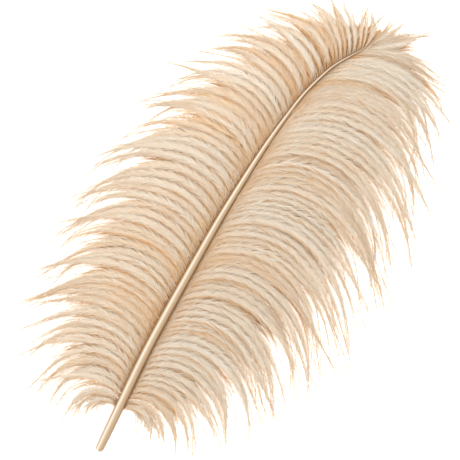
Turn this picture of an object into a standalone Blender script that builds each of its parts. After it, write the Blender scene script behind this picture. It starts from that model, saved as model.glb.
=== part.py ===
"""Ostrich plume lying on a table, quill towards -Y and tip towards +Y.

Three grown pieces: the shaft (quill and rachis in one), and the soft vane of barbs on each side of it.
A vane here is the closed envelope of its barbs: an arched pad that springs from the shaft and
comes down to rest on the table along a flat sole. Lengths below are millimetres.
"""

import math

import bmesh
import bpy
import numpy as np

MM = 0.001

# Shaft stations: (y along the plume, x sideways, z above the table, radius), from the quill's closed
# end to the tip. It bows to the left, arches off the table and tapers to a hair.
SHAFT_STATIONS = [
    (0, 0, 3.0, 3.0),
    (22, -3.0, 5.4, 3.5),
    (92, -12.3, 14.5, 3.4),
    (150, -17.2, 20.8, 3.15),
    (213, -21.3, 25.0, 2.6),
    (263, -23.3, 26.0, 2.0),
    (305, -23.0, 24.6, 1.45),
    (339, -15.5, 21.0, 0.85),
    (371, 0.0, 15.5, 0.4),
]
SHAFT_END_ROUNDING = 3.4  # length over which the quill's end closes
SHAFT_TIP_ROUNDING = 0.6
SHAFT_SIDES = 20
SHAFT_RINGS = 58
GROOVE_START = 40  # the rachis has a shallow groove below, from where the barbs begin
GROOVE_FULL = 75
GROOVE_DEPTH = 0.22  # share of the radius

# Barb plan: (root y on the shaft, tip x, tip y, angle leaving the shaft, angle at the tip).
# Angles are degrees away from the shaft's own direction, and 180 points back to the quill.
LEFT_BARBS = [
    (38, -26, 17, 62, 165),
    (46, -42, 9, 60, 160),
    (56, -61, 14, 58, 155),
    (70, -81, 27, 56, 150),
    (90, -101, 44, 55, 146),
    (120, -112, 70, 55, 142),
    (152, -121, 100, 54, 140),
    (190, -126, 140, 53, 136),
    (232, -127, 192, 52, 130),
    (270, -124, 238, 50, 124),
    (305, -115, 284, 48, 116),
    (333, -101, 325, 45, 104),
    (352, -84, 358, 40, 88),
    (363, -54, 379, 26, 68),
    (369, -18, 395, 12, 42),
    (371, 13, 400, 0, 8),
]
RIGHT_BARBS = [
    (38, 34, 26, 62, 160),
    (50, 57, 33, 58, 152),
    (66, 79, 50, 55, 148),
    (90, 95, 71, 52, 145),
    (122, 108, 97, 50, 142),
    (166, 119, 141, 48, 140),
    (215, 125, 196, 47, 138),
    (262, 127, 246, 46, 136),
    (298, 117, 284, 45, 134),
    (326, 102, 316, 43, 130),
    (348, 96, 346, 40, 126),
    (360, 83, 374, 32, 110),
    (368, 50, 393, 18, 76),
    (371, 15, 400, 0, 12),
]
LEFT_BEND = (0.26, 0.50)  # how far the two end directions hold, as shares of the root-to-tip span
RIGHT_BEND = (0.36, 0.42)

VANE_STATIONS = 46  # barb lines that the solid is lofted over
BARB_POINTS = 13
VANE_DEPTH = 4.0  # depth of the down, top to underside
VANE_EDGE_DEPTH = 1.5
CROWN = 9.0  # how far the barbs rise before they droop
LANDING = 0.86  # share of a barb's length at which it reaches the table
CLEARANCE = 0.35  # between a vane and the shaft, and between the vanes past its tip

KERATIN = (0.83, 0.69, 0.49)
DOWN = (0.74, 0.58, 0.42)


def smooth_through(keys, values, at):
    """A smooth curve through the key values that never overshoots them (monotone cubic)."""
    keys, values, at = (np.asarray(a, float) for a in (keys, values, at))
    gaps = np.diff(keys)
    slopes = np.diff(values) / gaps
    same_way = slopes[:-1] * slopes[1:] > 0
    safe = np.where(same_way, slopes[:-1] + slopes[1:], 1.0)
    middle = np.where(same_way, 2 * slopes[:-1] * slopes[1:] / safe, 0.0)
    tangents = np.concatenate([slopes[:1], middle, slopes[-1:]])
    i = np.clip(np.searchsorted(keys, at, side="right") - 1, 0, len(gaps) - 1)
    t = (at - keys[i]) / gaps[i]
    from_start = values[i] * (1 + 2 * t) * (1 - t) ** 2 + tangents[i] * gaps[i] * t * (1 - t) ** 2
    from_end = values[i + 1] * t**2 * (3 - 2 * t) - tangents[i + 1] * gaps[i] * t**2 * (1 - t)
    return from_start + from_end


def shaft_at(y):
    """Centre and radius of the shaft at distances y along the plume."""
    stations = np.array(SHAFT_STATIONS, float)
    x, z, radius = (smooth_through(stations[:, 0], stations[:, k], y) for k in (1, 2, 3))
    return np.stack([x, np.asarray(y, float), z], axis=-1), radius


def smoothstep(t):
    t = np.clip(t, 0, 1)
    return t * t * (3 - 2 * t)


def new_object(name, bm, colour, roughness):
    """A named object from a bmesh, in metres, with its own material."""
    bmesh.ops.scale(bm, vec=(MM, MM, MM), verts=bm.verts)
    bmesh.ops.recalc_face_normals(bm, faces=bm.faces)
    mesh = bpy.data.meshes.new(name)
    bm.to_mesh(mesh)
    bm.free()
    mesh.shade_smooth()
    mesh.set_sharp_from_angle(angle=math.radians(50))
    material = bpy.data.materials.new(name)
    material.use_nodes = True
    shader = material.node_tree.nodes["Principled BSDF"]
    shader.inputs["Base Color"].default_value = (*colour, 1)
    shader.inputs["Roughness"].default_value = roughness
    shader.inputs["Metallic"].default_value = 0
    mesh.materials.append(material)
    made = bpy.data.objects.new(name, mesh)
    bpy.context.scene.collection.objects.link(made)
    return made


def shaft_rings():
    """Distances along the shaft of its rings, closer together where each end rounds over."""
    length = SHAFT_STATIONS[-1][0]
    quarter = np.sin(np.linspace(0.12, 1, 6) * math.pi / 2)
    closing = SHAFT_END_ROUNDING * (1 - quarter[::-1])
    opening = length - SHAFT_TIP_ROUNDING * (1 - quarter)
    between = np.linspace(closing[-1], opening[0], SHAFT_RINGS)[1:-1]
    return np.concatenate([closing, between, opening])


def build_shaft():
    """A tube of rings round the bowed centre line, closed and rounded at both ends."""
    y = shaft_rings()
    centre, radius = shaft_at(y)
    length = y[-1]
    into_quill = np.clip(1 - y / SHAFT_END_ROUNDING, 0, 1)
    into_tip = np.clip(1 - (length - y) / SHAFT_TIP_ROUNDING, 0, 1)
    radius = radius * np.sqrt(1 - into_quill**2) * np.sqrt(1 - into_tip**2)
    radius = np.maximum(radius, 0.08)
    ahead = np.gradient(centre, axis=0)
    ahead /= np.linalg.norm(ahead, axis=1)[:, None]
    across = np.cross(ahead, (0, 0, 1))
    across /= np.linalg.norm(across, axis=1)[:, None]
    up = np.cross(across, ahead)
    groove = GROOVE_DEPTH * smoothstep((y - GROOVE_START) / (GROOVE_FULL - GROOVE_START))
    bm = bmesh.new()
    rings = []
    for i in range(len(y)):
        ring = []
        for side in range(SHAFT_SIDES):
            turn = 2 * math.pi * side / SHAFT_SIDES
            below = math.exp(-(((turn - math.pi) / 0.38) ** 2))
            reach = radius[i] * (1 - groove[i] * below)
            offset = reach * (math.sin(turn) * across[i] + math.cos(turn) * up[i])
            ring.append(bm.verts.new(centre[i] + offset))
        rings.append(ring)
    for ring, following in zip(rings, rings[1:]):
        for side in range(SHAFT_SIDES):
            after = (side + 1) % SHAFT_SIDES
            bm.faces.new((ring[side], ring[after], following[after], following[side]))
    bm.faces.new(rings[0])
    bm.faces.new(rings[-1])
    return new_object("shaft", bm, KERATIN, 0.28)


def barb_lines(plan, bend, sign):
    """Plan-view barb lines of one vane, root to tip, and the height of the shaft at each root."""
    keys = np.array(plan, float)
    station = np.linspace(0, 1, len(keys))
    fine = np.linspace(0, 1, VANE_STATIONS)
    root_y, tip_x, tip_y, leaving, landing = (
        smooth_through(station, keys[:, k], fine) for k in range(5)
    )
    centre, radius = shaft_at(root_y)
    beside, _ = shaft_at(np.minimum(root_y + 1, SHAFT_STATIONS[-1][0]))
    behind, _ = shaft_at(root_y - 1)
    heading = np.arctan2(beside[:, 0] - behind[:, 0], beside[:, 1] - behind[:, 1])
    off = sign * (radius + CLEARANCE)
    root = np.stack([centre[:, 0] + off * np.cos(heading), root_y - off * np.sin(heading)], axis=1)
    tip = np.stack([tip_x, tip_y], axis=1)
    tip[:, 0] += sign * CLEARANCE
    span = np.linalg.norm(tip - root, axis=1)[:, None]
    out = heading + sign * np.radians(leaving)
    down = heading + sign * np.radians(landing)
    first = root + bend[0] * span * np.stack([np.sin(out), np.cos(out)], axis=1)
    last = tip - bend[1] * span * np.stack([np.sin(down), np.cos(down)], axis=1)
    t = np.linspace(0, 1, BARB_POINTS)[None, :, None]
    root, first, last, tip = (p[:, None, :] for p in (root, first, last, tip))
    lines = root * (1 - t) ** 3 + 3 * first * t * (1 - t) ** 2 + 3 * last * t**2 * (1 - t) + tip * t**3
    return lines, centre[:, 2], radius


def build_vane(name, plan, bend, sign):
    """The barb lines lofted into an arched pad with a flat sole where the barbs lie on the table."""
    lines, root_height, radius = barb_lines(plan, bend, sign)
    along = np.linspace(0, 1, BARB_POINTS)[None, :]
    q = np.clip(along / LANDING, 0, 1)
    depth_at_root = np.minimum(VANE_DEPTH, 2.4 + 1.2 * radius)[:, None]
    to_edge = smoothstep((along - 0.7) / 0.3)
    depth = depth_at_root * (1 - to_edge) + VANE_EDGE_DEPTH * to_edge
    lowest = np.maximum(root_height[:, None] - depth_at_root / 2, 0.5)
    crown = CROWN * np.minimum(root_height / 12, 1)[:, None]
    under = lowest * (1 - smoothstep(q)) + crown * 6.75 * q * (1 - q) ** 2
    bm = bmesh.new()
    grids = []
    for height in (under + depth, under):
        grids.append(
            [
                [bm.verts.new((*lines[i, j], height[i, j])) for j in range(BARB_POINTS)]
                for i in range(VANE_STATIONS)
            ]
        )
    top, bottom = grids
    for grid in grids:
        for row, following in zip(grid, grid[1:]):
            for j in range(BARB_POINTS - 1):
                bm.faces.new((row[j], row[j + 1], following[j + 1], following[j]))
    rim_top = top[0] + [row[-1] for row in top[1:]] + top[-1][-2::-1] + [row[0] for row in top[-2:0:-1]]
    rim_bottom = (
        bottom[0]
        + [row[-1] for row in bottom[1:]]
        + bottom[-1][-2::-1]
        + [row[0] for row in bottom[-2:0:-1]]
    )
    for i in range(len(rim_top)):
        after = (i + 1) % len(rim_top)
        bm.faces.new((rim_top[i], rim_top[after], rim_bottom[after], rim_bottom[i]))
    return new_object(name, bm, DOWN, 0.9)


def centre_over_origin(objects):
    """Moves the pieces together so that the plume's box stands centred on the origin, at z = 0."""
    points = np.array([v.co for o in objects for v in o.data.vertices])
    low, high = points.min(axis=0), points.max(axis=0)
    shift = (-(low[0] + high[0]) / 2, -(low[1] + high[1]) / 2, -low[2])
    for o in objects:
        o.location = shift


def main():
    for o in list(bpy.data.objects):
        bpy.data.objects.remove(o)
    pieces = [
        build_shaft(),
        build_vane("left_vane", LEFT_BARBS, LEFT_BEND, -1),
        build_vane("right_vane", RIGHT_BARBS, RIGHT_BEND, 1),
    ]
    centre_over_origin(pieces)


main()
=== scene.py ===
"""Looks of an ostrich feather: a glossy horn shaft between two vanes of soft barbs with their barbules."""

import math

import bpy
import numpy as np
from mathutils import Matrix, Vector


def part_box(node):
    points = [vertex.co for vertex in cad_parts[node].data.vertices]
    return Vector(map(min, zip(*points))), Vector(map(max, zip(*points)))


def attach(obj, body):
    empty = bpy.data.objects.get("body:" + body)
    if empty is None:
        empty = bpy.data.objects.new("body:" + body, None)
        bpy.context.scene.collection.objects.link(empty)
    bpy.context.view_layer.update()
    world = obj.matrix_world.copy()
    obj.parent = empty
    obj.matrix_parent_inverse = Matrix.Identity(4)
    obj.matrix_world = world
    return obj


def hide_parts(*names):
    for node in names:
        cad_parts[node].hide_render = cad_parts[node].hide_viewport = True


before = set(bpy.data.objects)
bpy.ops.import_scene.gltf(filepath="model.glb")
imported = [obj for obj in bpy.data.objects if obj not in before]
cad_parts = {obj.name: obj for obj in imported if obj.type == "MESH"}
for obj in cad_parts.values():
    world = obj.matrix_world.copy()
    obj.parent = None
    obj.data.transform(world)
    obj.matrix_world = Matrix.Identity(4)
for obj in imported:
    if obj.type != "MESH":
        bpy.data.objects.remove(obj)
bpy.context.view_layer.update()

MM = 0.001
SHAFT_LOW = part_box("shaft")[0]

# ---------------------------------------------------------------- the plan, in mm from the quill's end

# (y along the feather, x sideways, z over the table, radius)
SHAFT_STATIONS = [
    (0, 0, 3.0, 3.0),
    (22, -3.0, 5.4, 3.5),
    (92, -12.3, 14.5, 3.4),
    (150, -17.2, 20.8, 3.15),
    (213, -21.3, 25.0, 2.6),
    (263, -22.4, 26.0, 2.0),
    (305, -20.8, 24.6, 1.45),
    (339, -14.8, 21.0, 0.85),
    (371, 0.0, 15.5, 0.4),
]
# (root y on the shaft, tip x, tip y, angle leaving the shaft, angle at the tip)
# angles are degrees away from the shaft's own direction, and 180 points back to the quill
LEFT_BARBS = [
    (37, -20, 29, 66, 155),
    (40, -33, 7, 64, 178),
    (47, -48, 2, 60, 176),
    (56, -66, 9, 58, 168),
    (70, -86, 22, 56, 156),
    (90, -102, 43, 55, 148),
    (120, -112, 70, 55, 142),
    (152, -121, 100, 54, 140),
    (190, -126, 140, 53, 136),
    (232, -127, 192, 52, 130),
    (270, -121, 246, 52, 130),
    (294, -109, 289, 52, 118),
    (312, -100, 318, 51, 116),
    (327, -92, 335, 50, 118),
    (342, -80, 354, 50, 126),
    (353, -54, 383, 50, 104),
    (361, -33, 393, 48, 82),
    (366, -20, 399, 46, 68),
    (369, -8, 403, 35, 50),
    (371, 9, 408, 0, 12),
]
RIGHT_BARBS = [
    (37, 19, 35, 62, 146),
    (41, 37, 25, 62, 160),
    (50, 57, 33, 58, 152),
    (66, 79, 50, 55, 148),
    (90, 95, 71, 52, 145),
    (122, 108, 97, 50, 142),
    (166, 119, 141, 48, 140),
    (215, 125, 196, 47, 138),
    (262, 127, 246, 46, 136),
    (296, 116, 287, 45, 138),
    (322, 103, 311, 44, 136),
    (338, 93, 333, 40, 126),
    (350, 90, 355, 38, 104),
    (360, 76, 380, 32, 74),
    (366, 54, 399, 20, 44),
    (369, 31, 408, 5, 16),
    (371, 12, 409, -8, -18),
]
ROOT_INSET = 0.75  # share of the shaft's radius at which the barbs' roots lie
TIP_ARCH = 1.1  # the arch that the barbs by the feather's tip have, on either vane
CROWN = 9.0  # how far the barbs rise before they droop
LANDING = 0.86  # share of a barb's length at which it reaches the table
PARTING_REACH = 14  # how far along the edge a parting is felt
# from the middle of the feather's box: tips lie free as far as the first, and none passes the second
SIDE_FREE_TO = 118.0
WIDEST = 141.0
END_FREE_TO = 211.0
LONGEST = 221.0

VANES = {
    "left": {
        "plan": LEFT_BARBS,
        "arch": 1.6,  # how much of the barb's turn comes near its root; 1 would be an even arc
        "lean": 0,  # degrees by which the roots lie closer to the shaft than the plan's angle
        "droop": 14,  # degrees that the loose ends turn back beyond the plan's angle
        "side": -1,
        "lock barbs": 196,  # how many barbs its locks have in all
        "lock at root": (4.0, 7.5),  # how wide locks are where they leave the shaft
        # (root y, how far the tips part, share by which the barbs on the quill's side of it fall short)
        "partings": [(68, 3.0, 0.0), (150, 4.0, 0.0), (245, 6.0, 0.0), (338, 5.0, 0.0)],
        "seed": 11,
    },
    "right": {
        "plan": RIGHT_BARBS,
        "arch": 1.9,
        "lean": 14,
        "droop": 6,
        "side": 1,
        "lock barbs": 216,
        "lock at root": (3.0, 5.5),
        "partings": [(68, 4.0, 0.0), (128, 4.0, 0.0), (205, 5.0, 0.0), (322, 12.0, 0.6)],
        "seed": 23,
    },
}

BARB_POINTS = 19
LINE_STEPS = 60  # steps along a barb when its line is worked out
ROOT_SHARE = 0.55  # how much the spacing of barbs goes by their roots, and the rest by their tips
STEM_RADIUS = 0.34
# barbules are fewer and broader here than real ones, which are about 0.05 mm thick and too fine to show
BARBULE_SPACING = 0.32  # along the stem, counting both sides
REST_HEIGHT = 0.15  # no fibre dips below this over the table

# locks: (mean, spread) or (least, most) where there are two numbers
LOCK_AT_TIP = (7.0, 13.0)  # how much of the vane's edge one lock takes at most
LOCK_BARBULE_LENGTH = 8.4
LOCK_REACH = (0.98, 1.1)  # share of the planned length
UNEVEN_ENDS = 0.2  # share of the length by which a lock's barbs fall short of one another
LOCK_CURL = (4, 16)  # degrees
LOCK_SWING = 3.5  # how far the tips swing sideways
BARB_SWING = 1.2
LOCK_LIFT = (0.4, 0.4)
LOCK_SHADE = 0.52
LOCK_TONE = (0.02, 0.03)
# sunken locks are painted darker as shade, and stray locks that lie over the rest lighter as painted light
SUNKEN_SHARE = 0.3  # of the locks lie lower and darker than their neighbours
SUNKEN_LIFT = (-0.9, 0.4)
SUNKEN_PAINTED_SHADE = (-0.07, 0.03)
ASTRAY_SHARE = 0.07  # of the locks stray across their neighbours
ASTRAY_SWING = 14
ASTRAY_LIFT = 2.2
ASTRAY_PAINTED_LIGHT = 0.08
FULL_CLING = 0.96  # how close a lock's barbs are at its end
TUFT_LOCKS = (3, 5)
TUFT_TONE = 0.02

# the barbs below them, painted darker as shade
UNDER_BARBS = 80
UNDER_REACH = (0.52, 0.68)
UNDER_DEPTH = 1.2
UNDER_BARBULE_LENGTH = 10.5
UNDER_PAINTED_SHADE = 0.2
UNDER_COVER = 0.8
UNDER_BROADNESS = 1.3

# the flat webs at the bottom: sheets that close the vane, painted honey brown as the shade in its depths
WEB_BARBS = 110
WEB_START = 7  # the vane's first barbs, the finest, get no web
WEB_REACH = (0.54, 0.66)
WEB_DEPTH = 2.4
WEB_STEP = 0.5  # every second web lies lower by this, so that they lap
WEB_HALF_WIDTH = 2.9
WEB_FULLNESS = 0.09  # half the thickness, as a share of the half width

# loose barbs
LOOSE_BARBS = 130
FIRST_BARBS = 24  # short fine barbs more, at the vane's base
LOOSE_REACH = (0.92, 1.12)
LOOSE_CURL = 22
LOOSE_SWING = 6
LOOSE_RISE = (0.5, 3.5)
LOOSE_BARBULE_LENGTH = 3.6
LOOSE_SHADE = 0.5

# what each guide line carries, and the unit it is given in
GUIDE_VALUES = {"shade": 1, "along": 1, "thick": MM, "fluff": MM, "rim": 1, "cover": 1, "broad": 1}
STEM_MAP_WIDTH = 0.01  # how much room a stem and a barbule take in the map, so that neither is a bare line
BARBULE_MAP_WIDTH = 0.004
QUILL_FACE = 0.5  # depth from the quill's end that holds the points of its end face


def quill_end():
    """Where the feather's own measures start: under the centre of the quill's closed end, on the table."""
    near_end = SHAFT_LOW.y + QUILL_FACE * MM
    ring = [v.co.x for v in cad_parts["shaft"].data.vertices if v.co.y < near_end]
    return np.array([(min(ring) + max(ring)) / 2, SHAFT_LOW.y, 0.0]) / MM


def smooth_through(keys, values, at):
    """A smooth curve through the key values that never overshoots them (monotone cubic)."""
    keys, values, at = (np.asarray(a, float) for a in (keys, values, at))
    gaps = np.diff(keys)
    slopes = np.diff(values) / gaps
    same_way = slopes[:-1] * slopes[1:] > 0
    safe = np.where(same_way, slopes[:-1] + slopes[1:], 1.0)
    middle = np.where(same_way, 2 * slopes[:-1] * slopes[1:] / safe, 0.0)
    tangents = np.concatenate([slopes[:1], middle, slopes[-1:]])
    i = np.clip(np.searchsorted(keys, at, side="right") - 1, 0, len(gaps) - 1)
    t = (at - keys[i]) / gaps[i]
    from_start = values[i] * (1 + 2 * t) * (1 - t) ** 2 + tangents[i] * gaps[i] * t * (1 - t) ** 2
    from_end = values[i + 1] * t**2 * (3 - 2 * t) - tangents[i + 1] * gaps[i] * t**2 * (1 - t)
    return from_start + from_end


def ramp(t, start, end):
    """Rises smoothly from 0 at start to 1 at end."""
    t = np.clip((np.asarray(t, float) - start) / (end - start), 0, 1)
    return t * t * (3 - 2 * t)


def shaft_at(y):
    """Centre and radius of the shaft at distances y along the feather."""
    stations = np.array(SHAFT_STATIONS, float)
    x, z, radius = (smooth_through(stations[:, 0], stations[:, k], y) for k in (1, 2, 3))
    return np.stack([x, np.asarray(y, float), z], axis=-1), radius


def shaft_heading(y):
    """The shaft's direction in plan at y, in radians from straight ahead towards the right."""
    ahead, _ = shaft_at(np.minimum(y + 1, SHAFT_STATIONS[-1][0]))
    behind, _ = shaft_at(y - 1)
    return np.arctan2(ahead[..., 0] - behind[..., 0], ahead[..., 1] - behind[..., 1])


# ---------------------------------------------------------------- how the barbs lie


def plan_at(vane, v):
    """The plan's five values at station v, from 0 at the vane's base to 1 at its tip."""
    keys = np.array(vane["plan"], float)
    station = np.linspace(0, 1, len(keys))
    return [smooth_through(station, keys[:, k], v) for k in range(5)]


def even_stations(vane, count):
    """Stations that space the roots and the tips evenly together."""
    v = np.linspace(0, 1, 600)
    root_y, tip_x, tip_y, _, _ = plan_at(vane, v)
    roots, tips = np.abs(np.diff(root_y)), np.hypot(np.diff(tip_x), np.diff(tip_y))
    step = ROOT_SHARE * roots + (1 - ROOT_SHARE) * tips
    run = np.concatenate([[0], np.cumsum(step)])
    return np.interp(np.linspace(0, run[-1], count), run, v)


def parted(vane, v):
    """The station whose tip the barb at v takes, and the share of its length that it keeps.

    Tips draw back from each parting and leave a gap.
    """
    keys = np.array(vane["plan"], float)
    station = np.linspace(0, 1, len(keys))
    edge = np.hypot(np.diff(keys[:, 1]), np.diff(keys[:, 2])).sum()
    moved = v
    kept = 1.0
    for root_y, gap, short in vane["partings"]:
        place = np.interp(root_y, keys[:, 0], station)
        away = (v - place) * edge / PARTING_REACH
        moved = moved + gap / edge * np.sign(away) * np.exp(-abs(away))
        kept = kept * (1 - short * np.exp(-abs(away)) * (1.0 if away < 0 else 0.0))
    return np.clip(moved, 0, 1), kept


def barb_line(vane, v, tip_v, t, curl=0.0):
    """Points in plan of a barb that grows at station v and ends at the tip of station tip_v.

    The barb turns from its leaving angle to its landing angle, most of it near the root. The points lie at
    shares t of its length, and curl bends its end further, in degrees.
    """
    side = vane["side"]
    root_y, _, _, leaving, _ = plan_at(vane, v)
    _, tip_x, tip_y, _, landing = plan_at(vane, tip_v)
    centre, radius = shaft_at(root_y)
    heading = shaft_heading(root_y)
    off = side * radius * ROOT_INSET
    root = np.array([centre[0] + off * math.cos(heading), root_y - off * math.sin(heading)])
    by_tip = ramp(v, 0.6, 0.8)
    droop = vane["droop"] * ramp(v, 0.0, 0.2) * (1 - by_tip)
    arch = vane["arch"] + (TIP_ARCH - vane["arch"]) * ramp(v, 0.47, 0.64)
    u = np.linspace(0, 1, LINE_STEPS)
    turned = 1 - (1 - u) ** arch
    first, last = leaving - vane["lean"] * (1 - by_tip), landing + droop
    angle = heading + side * np.radians(first + (last - first) * turned)
    chord = np.array([np.sin(angle).mean(), np.cos(angle).mean()])
    wanted = np.array([tip_x, tip_y]) - root
    swung = math.atan2(wanted[0], wanted[1]) - math.atan2(chord[0], chord[1])
    swung = (swung + math.pi) % (2 * math.pi) - math.pi
    angle = angle + swung + side * np.radians(curl) * u**3
    step = np.linalg.norm(wanted) / np.linalg.norm(chord) / (LINE_STEPS - 1)
    path = np.stack([np.sin(angle), np.cos(angle)], axis=1) * step
    path = root + np.concatenate([[[0, 0]], np.cumsum((path[1:] + path[:-1]) / 2, axis=0)])
    beyond = path[-1] + (path[-1] - path[-2]) * LINE_STEPS
    path = np.concatenate([path, [beyond]])
    u = np.append(u, u[-1] + LINE_STEPS / (LINE_STEPS - 1))
    return np.stack([np.interp(t, u, path[:, k]) for k in (0, 1)], axis=1)


def barb_height(vane, v, t):
    """Height over the table along the barb at station v: off the shaft, over the crown and down to rest."""
    root_y = plan_at(vane, v)[0]
    centre, radius = shaft_at(root_y)
    by_tip = ramp(root_y, 290, 350)
    root_height = centre[2] - 0.35 * radius - 1.8 * by_tip
    q = np.clip(t / LANDING, 0, 1)
    crown = CROWN * min(root_height / 12, 1) * (1 - 0.6 * by_tip)
    bump = 6.75 * q * (1 - q) ** 2  # 1 at its highest, a third of the way
    return root_height * (1 - ramp(q, 0, 1)) + crown * bump


def clear_of_shaft(vane, v, run):
    """Share of their length that barbules keep at a run from the root, so that the thin tip stays bare."""
    by_tip = ramp(plan_at(vane, v)[0], 305, 340)
    return 1 - 0.85 * by_tip * (1 - ramp(run, 0, 13))


def sideways(line):
    """Unit vectors across a line in plan."""
    ahead = np.gradient(line, axis=0)
    across = np.stack([-ahead[:, 1], ahead[:, 0]], axis=1)
    return across / np.linalg.norm(across, axis=1)[:, None]


def wave(rng, t, size):
    """A gentle waver of a barb to either side, growing towards its tip."""
    return size * t**1.5 * np.sin(2 * math.pi * (t * rng.uniform(0.8, 1.8) + rng.random()))


def barb(v, line, height, lowest, **values):
    """One barb: its station, its points, none under the lowest height, and its values along them."""
    made = {"station": v, "points": np.column_stack([line, np.maximum(height, lowest)])}
    for key, value in values.items():
        made[key] = np.broadcast_to(value, BARB_POINTS)
    return made


def length_of(line):
    return np.linalg.norm(np.diff(line, axis=0), axis=1).sum()


def lock_of_barbs(vane, members, tuft, rng):
    """Neighbouring barbs that cling together towards their tips, as damp hair does."""
    middle = members.mean()
    middle_tip, kept = parted(vane, middle)
    whole_tip, _ = parted(vane, tuft["middle"])
    sunken = rng.random() < SUNKEN_SHARE
    astray = rng.random() < ASTRAY_SHARE
    swing = rng.normal(0, ASTRAY_SWING if astray else LOCK_SWING)
    curl = rng.normal(*LOCK_CURL)
    reach = rng.uniform(*LOCK_REACH) * kept
    lift = ASTRAY_LIFT if astray else rng.normal(*(SUNKEN_LIFT if sunken else LOCK_LIFT))
    # sunken locks are painted darker, as shade, and stray locks that lie over the rest lighter, as painted
    # light
    tone = ASTRAY_PAINTED_LIGHT if astray else rng.normal(*(SUNKEN_PAINTED_SHADE if sunken else LOCK_TONE))
    by_tip = ramp(middle, 0.5, 0.66)
    tone = tuft["tone"] + tone * (1 + by_tip)
    order = rng.permutation(len(members)) / len(members)
    ends = reach * (1 - UNEVEN_ENDS * order * rng.uniform(0.6, 1.2))
    barbs = []
    for j, v in enumerate(members):
        # from -1 at the lock's edge on the quill's side to 1 at its other edge
        delta = 0 if len(members) == 1 else 2 * j / (len(members) - 1) - 1
        t = np.linspace(0, ends[j], BARB_POINTS)
        along = t / ends[j]
        own = barb_line(vane, v, parted(vane, v)[0], t, curl)
        lock = barb_line(vane, middle, middle_tip, t, curl)
        whole = barb_line(vane, tuft["middle"], whole_tip, t, curl)
        # the barbs of a lock draw together near the root and again towards the end
        early = 0.3 + 0.2 * ramp(v, 0.45, 0.6)
        clinging = early * ramp(t, 0.02, 0.12) + (FULL_CLING - early) * ramp(t, 0.3, 0.9)
        leaning = (0.2 + 0.35 * ramp(v, 0.1, 0.35)) * ramp(t, 0.3, 0.95)
        line = own + clinging[:, None] * (lock - own) + leaning[:, None] * (whole - lock)
        splay = (swing + rng.normal(0, BARB_SWING)) * t**2.5 + wave(rng, t, 0.5)
        line = line + sideways(line) * splay[:, None]
        # a lock is proud in the middle and higher at one edge
        rise = lift + 0.7 * (1 - delta**2) + 0.4 * delta + rng.normal(0, 0.2)
        over = ramp(along, 0, 0.15) * (1 - ramp(along, 0.75, 1))
        height = barb_height(vane, v, t) + over * rise
        # one edge of each lock is painted lighter and the other darker (0.07 * delta): painted light and
        # shade
        shade = LOCK_SHADE + tone + rng.normal(0, 0.025) + 0.07 * delta
        in_shaft_shade = (1 - ramp(along, 0, 0.14)) * (1 - ramp(v, 0.85, 0.95))
        length = length_of(line)
        fullness = min(0.35 + length / 130, 1)
        fluff = (0.2 + 0.8 * ramp(along, 0.0, 0.1)) * (1 - 0.8 * ramp(along, 0.45, 0.95))
        fluff = fluff * clear_of_shaft(vane, v, along * length)
        barbs.append(
            barb(
                v,
                line,
                height,
                rng.uniform(0.6, 2.0),
                shade=shade - 0.1 * in_shaft_shade + 0.02 * ramp(along, 0.7, 1),
                along=along,
                thick=STEM_RADIUS * (1 - 0.6 * along**3),
                fluff=LOCK_BARBULE_LENGTH * fullness * fluff,
                # rim marks the side of a lock's edge barbs whose barbules get painted shade
                rim=vane["side"] * {-1: 1.0, 1: -0.8 * by_tip}.get(delta, 0.0),
                cover=1 - 0.45 * ramp(along, 0.65, 1),
                broad=1.0,
            )
        )
    return barbs


def locks(vane, rng):
    """All the locks of a vane; every three to five of them lean together as one tuft."""
    stations = even_stations(vane, vane["lock barbs"])
    root_y, tip_x, tip_y, _, _ = plan_at(vane, stations)
    edge = np.concatenate([[0], np.cumsum(np.hypot(np.diff(tip_x), np.diff(tip_y)))])
    groups = []
    start = 0
    while start < len(stations):
        wide, long = rng.uniform(*vane["lock at root"]), rng.uniform(*LOCK_AT_TIP)
        inside = (root_y - root_y[start] < wide) & (edge - edge[start] < long)
        size = max(int(inside[start:].sum()), 2)
        groups.append(stations[start : start + size])
        start += size
    barbs = []
    start = 0
    while start < len(groups):
        together = groups[start : start + int(rng.integers(*TUFT_LOCKS, endpoint=True))]
        start += len(together)
        tuft = {"middle": np.concatenate(together).mean(), "tone": rng.normal(0, TUFT_TONE)}
        for members in together:
            barbs += lock_of_barbs(vane, members, tuft, rng)
    return barbs


def under_barbs(vane, rng):
    """The barbs below, shorter and broader in their down and painted darker as shade, that close the vane.
    """
    barbs = []
    for v in even_stations(vane, UNDER_BARBS):
        end = rng.uniform(*UNDER_REACH) * parted(vane, v)[1]
        t = np.linspace(0, end, BARB_POINTS)
        along = t / end
        line = barb_line(vane, v, v, t)
        line = line + sideways(line) * (rng.normal(0, 1.5) * t**2)[:, None]
        length = length_of(line)
        fullness = min(0.3 + length / 110, 1)
        fluff = fullness * (1 - 0.6 * ramp(along, 0.6, 1)) * clear_of_shaft(vane, v, along * length)
        barbs.append(
            barb(
                v,
                line,
                barb_height(vane, v, t) - UNDER_DEPTH,
                rng.uniform(0.6, 1.5),
                shade=UNDER_PAINTED_SHADE + rng.normal(0, 0.03) + 0.15 * ramp(along, 0.5, 1),
                along=along,
                thick=STEM_RADIUS * (1 - 0.7 * along),
                fluff=UNDER_BARBULE_LENGTH * fluff,
                rim=0.0,
                cover=UNDER_COVER,
                broad=UNDER_BROADNESS,
            )
        )
    return barbs


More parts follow.
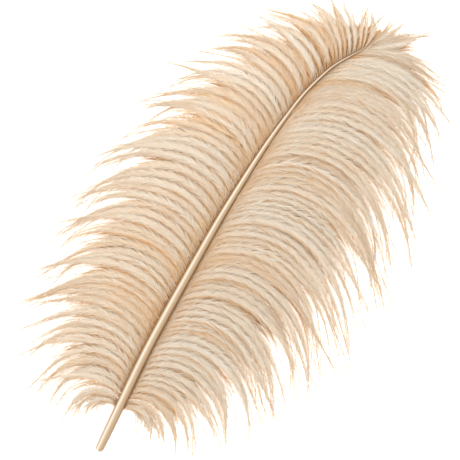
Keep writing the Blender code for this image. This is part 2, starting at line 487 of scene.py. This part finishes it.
def web_barbs(vane, rng):
    """Flat webs, edge over edge at the bottom, that close the vane against the light; their honey brown is
    painted shade.
    """
    webs = []
    for i, v in enumerate(even_stations(vane, WEB_BARBS)[WEB_START:]):
        end = rng.uniform(*WEB_REACH) * parted(vane, v)[1]
        t = np.linspace(0, end, BARB_POINTS)
        along = t / end
        step = WEB_STEP * (i % 2)
        height = barb_height(vane, v, t) - WEB_DEPTH - step
        wide = (0.5 + 0.5 * ramp(along, 0, 0.3)) * (1 - ramp(along, 0.6, 1.0) * 0.97)
        line = barb_line(vane, v, v, t)
        webs.append(barb(v, line, height, 0.8 + step, along=along, thick=WEB_HALF_WIDTH * wide))
    return webs


def loose_barbs(vane, rng):
    """Thin barbs that stray out of the locks and reach furthest, some across their neighbours."""
    barbs = []
    first = rng.uniform(0, 0.06, FIRST_BARBS)
    for v in np.concatenate([even_stations(vane, LOOSE_BARBS), first]):
        v = np.clip(v + rng.normal(0, 0.4 / LOOSE_BARBS), 0, 1)
        tip_v, kept = parted(vane, v)
        # the vane's first barbs are short
        end = rng.uniform(*LOOSE_REACH) * kept * (1 - 0.4 * rng.random() * (1 - ramp(v, 0.0, 0.06)))
        t = np.linspace(0, end, BARB_POINTS)
        along = t / end
        line = barb_line(vane, v, tip_v, t, rng.normal(0, LOOSE_CURL))
        line = line + sideways(line) * (rng.normal(0, LOOSE_SWING) * t**2.5 + wave(rng, t, 1.0))[:, None]
        barbs.append(
            barb(
                v,
                line,
                barb_height(vane, v, t) - 1.5 + ramp(along, 0.3, 0.6) * rng.uniform(*LOOSE_RISE),
                rng.uniform(0.8, 2.4),
                shade=LOOSE_SHADE + rng.normal(0, 0.06) + 0.1 * along,
                along=along,
                thick=STEM_RADIUS * (1 - 0.6 * along**3),
                fluff=LOOSE_BARBULE_LENGTH * (1 - 0.6 * ramp(along, 0.5, 1)),
                rim=0.0,
                cover=0.9 * ramp(along, 0.3 * ramp(v, 0, 0.06), 0.5) * (1 - 0.4 * along),
                broad=1.0,
            )
        )
    return barbs


# ---------------------------------------------------------------- materials


def add(tree, kind, inputs=None, **settings):
    """Adds a node with its settings; inputs maps a socket's name or place to a value or a socket."""
    made = tree.nodes.new(kind)
    for name, value in settings.items():
        setattr(made, name, value)
    for key, value in (inputs or {}).items():
        if isinstance(value, bpy.types.NodeSocket):
            tree.links.new(value, made.inputs[key])
        else:
            made.inputs[key].default_value = value
    return made


def linear(hexa):
    """A linear RGBA colour from an sRGB hex value."""
    channels = [int(hexa[i : i + 2], 16) / 255 for i in (0, 2, 4)]
    return (*[c / 12.92 if c <= 0.04045 else ((c + 0.055) / 1.055) ** 2.4 for c in channels], 1.0)


def colour_stops(node, stops):
    """Sets a colour ramp's stops from (place, hex) pairs."""
    while len(node.color_ramp.elements) < len(stops):
        node.color_ramp.elements.new(0.5)
    for element, (place, hexa) in zip(node.color_ramp.elements, stops):
        element.position = place
        element.color = linear(hexa)


def soft_down():
    """Undyed ostrich down is matt keratin fibre, champagne to honey; the ramp's champagne end serves as
    painted light where it catches light, its honey end as painted shade in its depths.
    """
    material = bpy.data.materials.new("soft_down")
    material.use_nodes = True
    tree = material.node_tree
    shader = tree.nodes["Principled BSDF"]
    place = add(tree, "ShaderNodeUVMap", uv_map="OFBake")
    shade = add(tree, "ShaderNodeSeparateXYZ", {0: place.outputs["UV"]})
    colour = add(tree, "ShaderNodeValToRGB", {0: shade.outputs["X"]})
    colour_stops(
        colour,
        [(0.0, "DEA76C"), (0.25, "E1BD90"), (0.5, "E5CFB4"), (0.75, "E7DBC8"), (1.0, "EAE4D9")],
    )
    tree.links.new(colour.outputs["Color"], shader.inputs["Base Color"])
    shader.inputs["Roughness"].default_value = 0.7
    shader.inputs["Specular IOR Level"].default_value = 0.3
    shader.inputs["Sheen Weight"].default_value = 0.12
    return material


CLUMPS_PER_MM = 0.9


def painted_shade_down():
    """Honey brown, a little clumped and quite matt: painted shade for the webs under the barbs."""
    material = bpy.data.materials.new("painted_shade_down")
    material.use_nodes = True
    tree = material.node_tree
    shader = tree.nodes["Principled BSDF"]
    spot = add(tree, "ShaderNodeTexCoord")
    # clumps of fibres about 1.1 mm across
    clumps = add(
        tree,
        "ShaderNodeTexNoise",
        {"Vector": spot.outputs["Object"], "Scale": CLUMPS_PER_MM / MM, "Detail": 3.0},
    )
    colour = add(tree, "ShaderNodeValToRGB", {0: clumps.outputs[0]})
    colour_stops(colour, [(0.3, "D6A36A"), (0.5, "DCB27E"), (0.7, "E3C196")])
    tree.links.new(colour.outputs["Color"], shader.inputs["Base Color"])
    shader.inputs["Roughness"].default_value = 0.8
    shader.inputs["Specular IOR Level"].default_value = 0.2
    return material


GROWTH_LINES = 70.0  # round the shaft, which makes them about 0.3 mm wide on the quill
GROWTH_LINE_RUNS = 14.0  # along the shaft, which makes them 26 mm long


def polished_horn():
    """Feather shaft is grown horn: smooth, glossy and golden, darker along the flanks by the barbs' sockets
    and by painted shade, most on the right; a pale band just left of the crown is a painted highlight.
    """
    material = bpy.data.materials.new("polished_horn")
    material.use_nodes = True
    tree = material.node_tree
    shader = tree.nodes["Principled BSDF"]
    place = add(tree, "ShaderNodeUVMap", uv_map="OFBake")
    across = add(tree, "ShaderNodeSeparateXYZ", {0: place.outputs["UV"]})
    colour = add(tree, "ShaderNodeValToRGB", {0: across.outputs["X"]})
    # round the shaft from below: the pale band at 0.44, just left of the crown, is a painted highlight, and
    # the dark flanks at 0.25 and 0.68 to 0.75 are painted shade, deeper on the right
    colour_stops(
        colour,
        [
            (0.0, "A4815A"),
            (0.25, "A07448"),
            (0.32, "AA8256"),
            (0.36, "B4926A"),
            (0.405, "D2BEA2"),
            (0.44, "ECE3D8"),
            (0.475, "D2BE9F"),
            (0.53, "BCA07C"),
            (0.6, "B29470"),
            (0.645, "A0784C"),
            (0.68, "8E6038"),
            (0.75, "80542C"),
            (1.0, "A4815A"),
        ],
    )
    fine = add(tree, "ShaderNodeMath", {0: across.outputs["X"], 1: GROWTH_LINES}, operation="MULTIPLY")
    long = add(tree, "ShaderNodeMath", {0: across.outputs["Y"], 1: GROWTH_LINE_RUNS}, operation="MULTIPLY")
    lengthwise = add(tree, "ShaderNodeCombineXYZ", {"X": fine.outputs[0], "Y": long.outputs[0]})
    lines = add(tree, "ShaderNodeTexNoise", {"Vector": lengthwise.outputs[0], "Scale": 1.0, "Detail": 2.0})
    darker = add(
        tree,
        "ShaderNodeMapRange",
        {"Value": lines.outputs[0], "From Min": 0.3, "From Max": 0.7, "To Min": 0.9, "To Max": 1.06},
    )
    tinted = add(
        tree,
        "ShaderNodeVectorMath",
        {0: colour.outputs["Color"], "Scale": darker.outputs[0]},
        operation="SCALE",
    )
    tree.links.new(tinted.outputs[0], shader.inputs["Base Color"])
    rough = add(
        tree,
        "ShaderNodeMapRange",
        {"Value": lines.outputs[0], "From Min": 0.3, "From Max": 0.7, "To Min": 0.26, "To Max": 0.36},
    )
    tree.links.new(rough.outputs[0], shader.inputs["Roughness"])
    relief = add(
        tree, "ShaderNodeBump", {"Height": lines.outputs[0], "Strength": 0.12, "Distance": 0.05 * MM}
    )
    tree.links.new(relief.outputs[0], shader.inputs["Normal"])
    shader.inputs["IOR"].default_value = 1.54
    shader.inputs["Coat Weight"].default_value = 0.3
    shader.inputs["Coat Roughness"].default_value = 0.12
    return material


# ---------------------------------------------------------------- barbs by geometry nodes


def feathering(material):
    """Sweeps each guide line into a barb's stem and sets tapering barbules along both sides of it.

    A guide line's own values are its radius (thick), the length and breadth of its barbules (fluff, broad),
    how many of them there are (cover), its tone (shade), its run (along) and the side that lies in a lock's
    shadow (rim).
    """
    tree = bpy.data.node_groups.new("feathering", "GeometryNodeTree")
    face = tree.interface
    face.new_socket("Guide Lines", in_out="INPUT", socket_type="NodeSocketGeometry")
    for name, value in (
        ("Barbule Spacing", BARBULE_SPACING * MM),
        ("Barbule Slenderness", 0.0305),
        ("Flatness", 0.4),
        ("Length Variation", 0.28),
        ("Spread", math.radians(19)),
        ("Spread Variation", math.radians(11)),
        ("Fluffing", math.radians(26)),
        ("Tone Variation", 0.15),
        ("Tip Lightening", 0.1),
        ("Rim Painted Shade", 0.36),
        ("Depth Painted Shade", 0.15),
        ("Stem Darkening", -0.12),
        ("Rest Height", REST_HEIGHT * MM),
    ):
        face.new_socket(name, in_out="INPUT", socket_type="NodeSocketFloat").default_value = value
    for name, value in (("Stem Sides", 3), ("Seed", 1)):
        face.new_socket(name, in_out="INPUT", socket_type="NodeSocketInt").default_value = value
    face.new_socket("Barbs", in_out="OUTPUT", socket_type="NodeSocketGeometry")
    given = add(tree, "NodeGroupInput").outputs
    value_of = {
        name: add(tree, "GeometryNodeInputNamedAttribute", {"Name": name}, data_type="FLOAT").outputs[0]
        for name in (*GUIDE_VALUES, "around", "height", "aside", "beside")
    }
    lines = add(tree, "GeometryNodeMeshToCurve", {"Mesh": given["Guide Lines"]}).outputs[0]

    # stems
    ring = add(tree, "GeometryNodeCurvePrimitiveCircle", {"Resolution": given["Stem Sides"], "Radius": 1.0})
    turn = add(tree, "GeometryNodeSplineParameter")
    ring = add(
        tree,
        "GeometryNodeStoreNamedAttribute",
        {"Geometry": ring.outputs[0], "Name": "around", "Value": turn.outputs["Factor"]},
        domain="POINT",
        data_type="FLOAT",
    )
    stems = add(
        tree,
        "GeometryNodeCurveToMesh",
        {"Curve": lines, "Profile Curve": ring.outputs[0], "Fill Caps": True, "Scale": value_of["thick"]},
    )
    stem_tone = add(
        tree,
        "ShaderNodeMath",
        {0: value_of["around"], 1: STEM_MAP_WIDTH, 2: given["Stem Darkening"]},
        operation="MULTIPLY_ADD",
    )
    stem_shade = add(
        tree, "ShaderNodeMath", {0: value_of["shade"], 1: stem_tone.outputs[0]}, operation="ADD"
    )
    stem_place = add(tree, "ShaderNodeCombineXYZ", {"X": stem_shade.outputs[0], "Y": value_of["along"]})
    stems = add(
        tree,
        "GeometryNodeStoreNamedAttribute",
        {"Geometry": stems.outputs[0], "Name": "OFBake", "Value": stem_place.outputs[0]},
        domain="CORNER",
        data_type="FLOAT2",
    )

    # one barbule: a three-sided spike, one unit long
    spike = add(
        tree,
        "GeometryNodeMeshCone",
        {"Vertices": 3, "Radius Top": 0.0, "Radius Bottom": 1.0, "Depth": 1.0},
        fill_type="NGON",
    ).outputs[0]
    corner = add(tree, "GeometryNodeInputPosition")
    corner = add(tree, "ShaderNodeSeparateXYZ", {0: corner.outputs[0]})
    for name, axis in (("aside", "X"), ("beside", "Y"), ("height", "Z")):
        spike = add(
            tree,
            "GeometryNodeStoreNamedAttribute",
            {"Geometry": spike, "Name": name, "Value": corner.outputs[axis]},
            domain="POINT",
            data_type="FLOAT",
        ).outputs[0]

    # chance: (side, fluffing, spread), (tone, length, -) and (place, cover, -), each from -1 to 1
    chances = []
    for step in range(3):
        seed = add(tree, "FunctionNodeIntegerMath", {0: given["Seed"], 1: step}, operation="ADD")
        drawn = add(
            tree,
            "FunctionNodeRandomValue",
            {0: (-1.0, -1.0, -1.0), 1: (1.0, 1.0, 1.0), "Seed": seed.outputs[0]},
            data_type="FLOAT_VECTOR",
        )
        chances.append(add(tree, "ShaderNodeSeparateXYZ", {0: drawn.outputs[0]}).outputs)

    # direction of each barbule
    rooted = add(
        tree,
        "GeometryNodeResampleCurve",
        {"Curve": lines, "Length": given["Barbule Spacing"]},
        mode="LENGTH",
    )
    # the line's direction is kept from before the roots slip, because slipped roots may change places
    tangent = add(tree, "GeometryNodeInputTangent").outputs[0]
    rooted = add(
        tree,
        "GeometryNodeStoreNamedAttribute",
        {"Geometry": rooted.outputs[0], "Name": "ahead", "Value": tangent},
        domain="POINT",
        data_type="FLOAT_VECTOR",
    )
    tangent = add(
        tree, "GeometryNodeInputNamedAttribute", {"Name": "ahead"}, data_type="FLOAT_VECTOR"
    ).outputs[0]
    level = add(tree, "ShaderNodeVectorMath", {0: tangent, 1: (0, 0, 1)}, operation="CROSS_PRODUCT")
    level = add(tree, "ShaderNodeVectorMath", {0: level.outputs[0]}, operation="NORMALIZE").outputs[0]
    upright = add(tree, "ShaderNodeVectorMath", {0: level, 1: tangent}, operation="CROSS_PRODUCT")
    upright = upright.outputs[0]
    side = add(tree, "ShaderNodeMath", {0: chances[0]["X"]}, operation="SIGN").outputs[0]
    tilt = add(
        tree, "ShaderNodeMath", {0: chances[0]["Y"], 1: given["Fluffing"]}, operation="MULTIPLY"
    ).outputs[0]
    flat = add(tree, "ShaderNodeMath", {0: tilt}, operation="COSINE").outputs[0]
    flat = add(tree, "ShaderNodeMath", {0: flat, 1: side}, operation="MULTIPLY").outputs[0]
    raised = add(tree, "ShaderNodeMath", {0: tilt}, operation="SINE").outputs[0]
    flat = add(tree, "ShaderNodeVectorMath", {0: level, "Scale": flat}, operation="SCALE").outputs[0]
    raised = add(tree, "ShaderNodeVectorMath", {0: upright, "Scale": raised}, operation="SCALE").outputs[0]
    outwards = add(tree, "ShaderNodeVectorMath", {0: flat, 1: raised}, operation="ADD").outputs[0]
    # cubed, most barbules keep close to the common spread and a few stand off
    mostly_small = add(tree, "ShaderNodeMath", {0: chances[0]["Z"], 1: 3.0}, operation="POWER").outputs[0]
    spread = add(
        tree,
        "ShaderNodeMath",
        {0: mostly_small, 1: given["Spread Variation"], 2: given["Spread"]},
        operation="MULTIPLY_ADD",
    ).outputs[0]
    forwards = add(tree, "ShaderNodeMath", {0: spread}, operation="COSINE").outputs[0]
    apart = add(tree, "ShaderNodeMath", {0: spread}, operation="SINE").outputs[0]
    forwards = add(tree, "ShaderNodeVectorMath", {0: tangent, "Scale": forwards}, operation="SCALE")
    apart = add(tree, "ShaderNodeVectorMath", {0: outwards, "Scale": apart}, operation="SCALE")
    heading = add(
        tree, "ShaderNodeVectorMath", {0: forwards.outputs[0], 1: apart.outputs[0]}, operation="ADD"
    )
    # each barbule is a flat blade that lies in the barb's own plane
    turned = add(
        tree,
        "FunctionNodeAxesToRotation",
        {0: heading.outputs[0], 1: level},
        primary_axis="Z",
        secondary_axis="X",
    )

    # its place, tone and size
    slip = add(
        tree, "ShaderNodeMath", {0: chances[2]["X"], 1: given["Barbule Spacing"]}, operation="MULTIPLY"
    )
    slip = add(tree, "ShaderNodeVectorMath", {0: tangent, "Scale": slip.outputs[0]}, operation="SCALE")
    rooted = add(
        tree, "GeometryNodeSetPosition", {"Geometry": rooted.outputs[0], "Offset": slip.outputs[0]}
    ).outputs[0]
    # barbules on the rim side of a lock's edge barbs are painted darker: painted shade between the locks
    in_rim = add(tree, "ShaderNodeMath", {0: side, 1: value_of["rim"]}, operation="MULTIPLY")
    in_rim = add(tree, "ShaderNodeMath", {0: in_rim.outputs[0], 1: 0.0}, operation="MAXIMUM")
    darker = add(
        tree, "ShaderNodeMath", {0: in_rim.outputs[0], 1: given["Rim Painted Shade"]}, operation="MULTIPLY"
    )
    tone = add(
        tree,
        "ShaderNodeMath",
        {0: chances[1]["X"], 1: given["Tone Variation"], 2: value_of["shade"]},
        operation="MULTIPLY_ADD",
    )
    tone = add(tree, "ShaderNodeMath", {0: tone.outputs[0], 1: darker.outputs[0]}, operation="SUBTRACT")
    # barbules tilted down are painted darker and those tilted up lighter: painted shade and light by depth
    tone = add(
        tree,
        "ShaderNodeMath",
        {0: chances[0]["Y"], 1: given["Depth Painted Shade"], 2: tone.outputs[0]},
        operation="MULTIPLY_ADD",
    )
    rooted = add(
        tree,
        "GeometryNodeStoreNamedAttribute",
        {"Geometry": rooted, "Name": "shade", "Value": tone.outputs[0]},
        domain="POINT",
        data_type="FLOAT",
    )
    stretch = add(
        tree,
        "ShaderNodeMath",
        {0: chances[1]["Y"], 1: given["Length Variation"], 2: 1.0},
        operation="MULTIPLY_ADD",
    )
    length = add(
        tree, "ShaderNodeMath", {0: value_of["fluff"], 1: stretch.outputs[0]}, operation="MULTIPLY"
    ).outputs[0]
    width = add(
        tree, "ShaderNodeMath", {0: length, 1: given["Barbule Slenderness"]}, operation="MULTIPLY"
    ).outputs[0]
    width = add(tree, "ShaderNodeMath", {0: width, 1: value_of["broad"]}, operation="MULTIPLY").outputs[0]
    depth = add(tree, "ShaderNodeMath", {0: width, 1: given["Flatness"]}, operation="MULTIPLY").outputs[0]
    size = add(tree, "ShaderNodeCombineXYZ", {"X": width, "Y": depth, "Z": length})
    threshold = add(
        tree, "ShaderNodeMath", {0: value_of["cover"], 1: 2.0, 2: -1.0}, operation="MULTIPLY_ADD"
    )
    grows = add(
        tree, "FunctionNodeCompare", {0: chances[2]["Y"], 1: threshold.outputs[0]}, operation="LESS_THAN"
    )
    barbules = add(
        tree,
        "GeometryNodeInstanceOnPoints",
        {
            "Points": rooted.outputs[0],
            "Selection": grows.outputs[0],
            "Instance": spike,
            "Rotation": turned.outputs[0],
            "Scale": size.outputs[0],
        },
    )
    barbules = add(tree, "GeometryNodeRealizeInstances", {"Geometry": barbules.outputs[0]})
    shade = add(
        tree,
        "ShaderNodeMath",
        {0: value_of["height"], 1: given["Tip Lightening"], 2: value_of["shade"]},
        operation="MULTIPLY_ADD",
    )
    shade = add(
        tree,
        "ShaderNodeMath",
        {0: value_of["aside"], 1: BARBULE_MAP_WIDTH, 2: shade.outputs[0]},
        operation="MULTIPLY_ADD",
    )
    run = add(
        tree,
        "ShaderNodeMath",
        {0: value_of["beside"], 1: BARBULE_MAP_WIDTH, 2: value_of["along"]},
        operation="MULTIPLY_ADD",
    )
    place = add(tree, "ShaderNodeCombineXYZ", {"X": shade.outputs[0], "Y": run.outputs[0]})
    barbules = add(
        tree,
        "GeometryNodeStoreNamedAttribute",
        {"Geometry": barbules.outputs[0], "Name": "OFBake", "Value": place.outputs[0]},
        domain="CORNER",
        data_type="FLOAT2",
    )

    # stems and barbules together, none of them through the table
    both = add(tree, "GeometryNodeJoinGeometry")
    tree.links.new(stems.outputs[0], both.inputs[0])
    tree.links.new(barbules.outputs[0], both.inputs[0])
    here = add(tree, "GeometryNodeInputPosition")
    here = add(tree, "ShaderNodeSeparateXYZ", {0: here.outputs[0]})
    lifted = add(
        tree, "ShaderNodeMath", {0: here.outputs["Z"], 1: given["Rest Height"]}, operation="MAXIMUM"
    )
    rested = add(
        tree,
        "ShaderNodeCombineXYZ",
        {"X": here.outputs["X"], "Y": here.outputs["Y"], "Z": lifted.outputs[0]},
    )
    whole = add(
        tree, "GeometryNodeSetPosition", {"Geometry": both.outputs[0], "Position": rested.outputs[0]}
    )
    whole = add(tree, "GeometryNodeRealizeInstances", {"Geometry": whole.outputs[0]})
    whole = add(tree, "GeometryNodeSetMaterial", {"Geometry": whole.outputs[0], "Material": material})
    add(tree, "NodeGroupOutput", {0: whole.outputs[0]})
    return tree


def held_in(place, free_to, furthest):
    """Draws the tips that stray far out gently back, so that none passes the furthest place."""
    room = furthest - free_to
    over = np.maximum(np.abs(place) - free_to, 0)
    return np.sign(place) * (np.minimum(np.abs(place), free_to) + room * (1 - np.exp(-over / room)))


def guide_lines(name, barbs):
    """The barbs' guide lines as a mesh of edges that carries their values."""
    points = np.concatenate([barb["points"] for barb in barbs]) + QUILL
    points[:, 0] = held_in(points[:, 0], SIDE_FREE_TO, WIDEST)
    points[:, 1] = held_in(points[:, 1], END_FREE_TO, LONGEST)
    starts = np.arange(len(barbs))[:, None] * BARB_POINTS + np.arange(BARB_POINTS - 1)[None, :]
    edges = np.stack([starts.ravel(), starts.ravel() + 1], axis=1)
    mesh = bpy.data.meshes.new(name)
    mesh.from_pydata((points * MM).tolist(), edges.tolist(), [])
    for key, unit in GUIDE_VALUES.items():
        values = np.concatenate([barb[key] for barb in barbs]) * unit
        mesh.attributes.new(key, "FLOAT", "POINT").data.foreach_set("value", values.astype(np.float32))
    return mesh


def input_id(tree, name):
    """The identifier of a tree's input, by its name."""
    for item in tree.interface.items_tree:
        if item.item_type == "SOCKET" and item.in_out == "INPUT" and item.name == name:
            return item.identifier


def new_object(name, mesh):
    made = bpy.data.objects.new(name, mesh)
    bpy.context.scene.collection.objects.link(made)
    return made


def feathered(name, barbs, tree, seed):
    """One plain mesh piece of finished barbs."""
    guide = new_object(name + "_guide", guide_lines(name + "_guide", barbs))
    grower = guide.modifiers.new("feathering", "NODES")
    grower.node_group = tree
    grower[input_id(tree, "Seed")] = seed
    depsgraph = bpy.context.evaluated_depsgraph_get()
    mesh = bpy.data.meshes.new_from_object(
        guide.evaluated_get(depsgraph), preserve_all_data_layers=True, depsgraph=depsgraph
    )
    mesh.name = name
    bpy.data.objects.remove(guide)
    return new_object(name, mesh)


def web_bed(name, webs, material):
    """The flat webs of one vane as one piece: thin four-sided strips, closed at both ends."""
    section = [(-1, 0), (0, -WEB_FULLNESS), (1, 0), (0, WEB_FULLNESS)]
    sides = len(section)
    points = []
    faces = []
    places = []
    for web in webs:
        across = sideways(web["points"][:, :2])
        start = len(points)
        for centre, side, half in zip(web["points"], across, web["thick"]):
            for x, z in section:
                points.append(centre + half * np.array([side[0] * x, side[1] * x, z]))
        for i in range(BARB_POINTS - 1):
            for k in range(sides):
                row, after = start + i * sides, (k + 1) % sides
                faces.append((row + after, row + k, row + sides + k, row + sides + after))
                low, high = web["along"][i], web["along"][i + 1]
                left, right = k / sides, (k + 1) / sides
                places += [(right, low), (left, low), (left, high), (right, high)]
        faces.append(tuple(start + k for k in range(sides)))
        faces.append(tuple(start + (BARB_POINTS - 1) * sides + k for k in range(sides))[::-1])
        places += [(k / sides, 0.0) for k in range(sides)]
        places += [(k / sides, 1.0) for k in range(sides)][::-1]
    mesh = bpy.data.meshes.new(name)
    mesh.from_pydata(((np.array(points) + QUILL) * MM).tolist(), [], faces)
    mesh.uv_layers.new(name="OFBake").data.foreach_set("uv", np.array(places, np.float32).ravel())
    mesh.shade_smooth()
    mesh.materials.append(material)
    return new_object(name, mesh)


def shares(barbs, count):
    """Neighbouring barbs in so many groups, with about as much down in each."""
    barbs = sorted(barbs, key=lambda barb: barb["station"])
    down = [length_of(barb["points"]) * barb["cover"].mean() for barb in barbs]
    place = np.cumsum(down) / sum(down) * count
    return [[barb for barb, at in zip(barbs, place) if k < at <= k + 1 + 1e-9] for k in range(count)]


def build_vane(name, vane, tree, web_shade):
    rng = np.random.default_rng(vane["seed"])
    bed = web_bed(f"{name}_web", web_barbs(vane, rng), web_shade)
    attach(bed, "root")
    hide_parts(f"{name}_vane")
    barbs = locks(vane, rng) + under_barbs(vane, rng) + loose_barbs(vane, rng)
    for k, (place, group) in enumerate(zip(("base", "middle", "tip"), shares(barbs, 3))):
        piece = feathered(f"{name}_barbs_{place}", group, tree, 10 * vane["seed"] + k)
        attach(piece, "root")
        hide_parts(f"{name}_vane")


# ---------------------------------------------------------------- the shaft

SHAFT_SIDES = 36
SHAFT_RINGS = 150
END_ROUNDING = 3.4  # length over which the quill's end closes
END_RINGS = 10
END_START = 0.06  # the first ring's place in the rounding, short of its very pole
TIP_ROUNDING = 0.6
GROOVE_START = 40  # the shallow groove below starts with the barbs
GROOVE_FULL = 75
GROOVE_DEPTH = 0.22  # share of the radius
GROOVE_HALF_WIDTH = 0.38  # radians round the shaft
SHAFT_FULLNESS = 1.05  # how much the barbs' sockets along the flanks add to the radius


def build_shaft(material):
    """A tube of rings round the bowed centre line, closed and rounded at both ends and grooved below."""
    length = SHAFT_STATIONS[-1][0]
    closing = END_ROUNDING * (1 - np.cos(np.linspace(END_START, 1, END_RINGS) * math.pi / 2))
    opening = length - closing[::-1] * TIP_ROUNDING / END_ROUNDING
    y = np.concatenate([closing, np.linspace(closing[-1], opening[0], SHAFT_RINGS)[1:-1], opening])
    centre, radius = shaft_at(y)
    radius = radius * SHAFT_FULLNESS
    into_end = np.clip(1 - y / END_ROUNDING, 0, 1)
    into_tip = np.clip(1 - (length - y) / TIP_ROUNDING, 0, 1)
    radius = radius * np.sqrt(1 - into_end**2) * np.sqrt(1 - into_tip**2)
    ahead = np.gradient(centre, axis=0)
    ahead /= np.linalg.norm(ahead, axis=1)[:, None]
    across = np.cross(ahead, (0, 0, 1))
    across /= np.linalg.norm(across, axis=1)[:, None]
    up = np.cross(across, ahead)
    turn = 2 * math.pi * np.arange(SHAFT_SIDES) / SHAFT_SIDES - math.pi
    below = np.exp(-(((math.pi - np.abs(turn)) / GROOVE_HALF_WIDTH) ** 2))
    groove = GROOVE_DEPTH * ramp(y, GROOVE_START, GROOVE_FULL)
    reach = radius[:, None] * (1 - groove[:, None] * below[None, :])
    points = (
        centre[:, None, :]
        + (reach * np.sin(turn))[:, :, None] * across[:, None, :]
        + (reach * np.cos(turn))[:, :, None] * up[:, None, :]
    )
    points = (points.reshape(-1, 3) + QUILL) * MM
    faces = []
    places = []
    for i in range(len(y) - 1):
        for k in range(SHAFT_SIDES):
            after = (k + 1) % SHAFT_SIDES
            row, following = i * SHAFT_SIDES, (i + 1) * SHAFT_SIDES
            faces.append((row + k, row + after, following + after, following + k))
            left, right = k / SHAFT_SIDES, (k + 1) / SHAFT_SIDES
            low, high = y[i] / length, y[i + 1] / length
            places += [(left, low), (right, low), (right, high), (left, high)]
    last = (len(y) - 1) * SHAFT_SIDES
    faces.append(tuple(range(SHAFT_SIDES))[::-1])
    places += [(k / SHAFT_SIDES, 0.0) for k in range(SHAFT_SIDES)][::-1]
    faces.append(tuple(last + k for k in range(SHAFT_SIDES)))
    places += [(k / SHAFT_SIDES, 1.0) for k in range(SHAFT_SIDES)]
    mesh = bpy.data.meshes.new("horn_shaft")
    mesh.from_pydata(points.tolist(), [], faces)
    mesh.uv_layers.new(name="OFBake").data.foreach_set("uv", np.array(places, np.float32).ravel())
    mesh.shade_smooth()
    mesh.materials.append(material)
    piece = new_object("horn_shaft", mesh)
    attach(piece, "root")
    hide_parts("shaft")
    return piece


# ---------------------------------------------------------------- floor, light and camera

FLOOR_HALF = 6.0
WORLD_STRENGTH = 1.17
PANEL_STRENGTH = 0.6
KEY_POWER = 5.5
KEY_SIZE = 0.8
KEY_PLACE = (-0.95, 0.2, 1.1)
VIEW_TURN = math.radians(33.6)
VIEW_WIDTH = 350.5
VIEW_CENTRE = (-9.7, 197.7)
VIEW_HEIGHT = 12.0  # the height over the table at which the view is so wide
LENS = 120.0
SENSOR = 36.0


def build_floor():
    f = FLOOR_HALF
    mesh = bpy.data.meshes.new("floor")
    mesh.from_pydata([(-f, -f, 0), (f, -f, 0), (f, f, 0), (-f, f, 0)], [], [(0, 1, 2, 3)])
    floor = new_object("floor", mesh)
    # a matt white light panel with a faint tooth 2.5 mm wide, whose glow keeps shadows on it pale
    paper = bpy.data.materials.new("light_panel")
    paper.use_nodes = True
    tree = paper.node_tree
    shader = tree.nodes["Principled BSDF"]
    spot = add(tree, "ShaderNodeTexCoord")
    tooth = add(tree, "ShaderNodeTexNoise", {"Vector": spot.outputs["Object"], "Scale": 400.0})
    colour = add(tree, "ShaderNodeValToRGB", {0: tooth.outputs[0]})
    colour_stops(colour, [(0.3, "F7F7F7"), (0.7, "FAFAFA")])
    tree.links.new(colour.outputs["Color"], shader.inputs["Base Color"])
    shader.inputs["Roughness"].default_value = 0.9
    shader.inputs["Specular IOR Level"].default_value = 0.2
    shader.inputs["Emission Color"].default_value = (1, 1, 1, 1)
    shader.inputs["Emission Strength"].default_value = PANEL_STRENGTH
    mesh.materials.append(paper)


def build_lights():
    """A bright even surround, and one broad lamp over the feather's left."""
    world = bpy.data.worlds.new("studio")
    world.use_nodes = True
    world.node_tree.nodes["Background"].inputs["Color"].default_value = (1, 1, 1, 1)
    world.node_tree.nodes["Background"].inputs["Strength"].default_value = WORLD_STRENGTH
    bpy.context.scene.world = world
    lamp = bpy.data.lights.new("key", "AREA")
    lamp.shape = "DISK"
    lamp.size = KEY_SIZE
    lamp.energy = KEY_POWER
    key = new_object("key", lamp)
    key.location = KEY_PLACE
    key.rotation_mode = "QUATERNION"
    key.rotation_quaternion = (-Vector(KEY_PLACE)).to_track_quat("-Z", "Y")


def build_camera():
    """Looks straight down, turned so that the feather lies from lower left to upper right."""
    lens = bpy.data.cameras.new("camera")
    lens.lens = LENS
    lens.sensor_width = SENSOR
    lens.clip_start = 0.1
    lens.clip_end = 20
    camera = new_object("camera", lens)
    x, y = (QUILL[:2] + VIEW_CENTRE) * MM
    distance = VIEW_WIDTH * MM * LENS / SENSOR
    camera.location = (x, y, distance + VIEW_HEIGHT * MM)
    camera.rotation_euler = (0, 0, VIEW_TURN)
    bpy.context.scene.camera = camera


QUILL = quill_end()
down_tree = feathering(soft_down())
web_shade = painted_shade_down()
for name, vane in VANES.items():
    build_vane(name, vane, down_tree, web_shade)
build_shaft(polished_horn())
build_floor()
build_lights()
build_camera()
bpy.context.scene.view_settings.view_transform = "Standard"
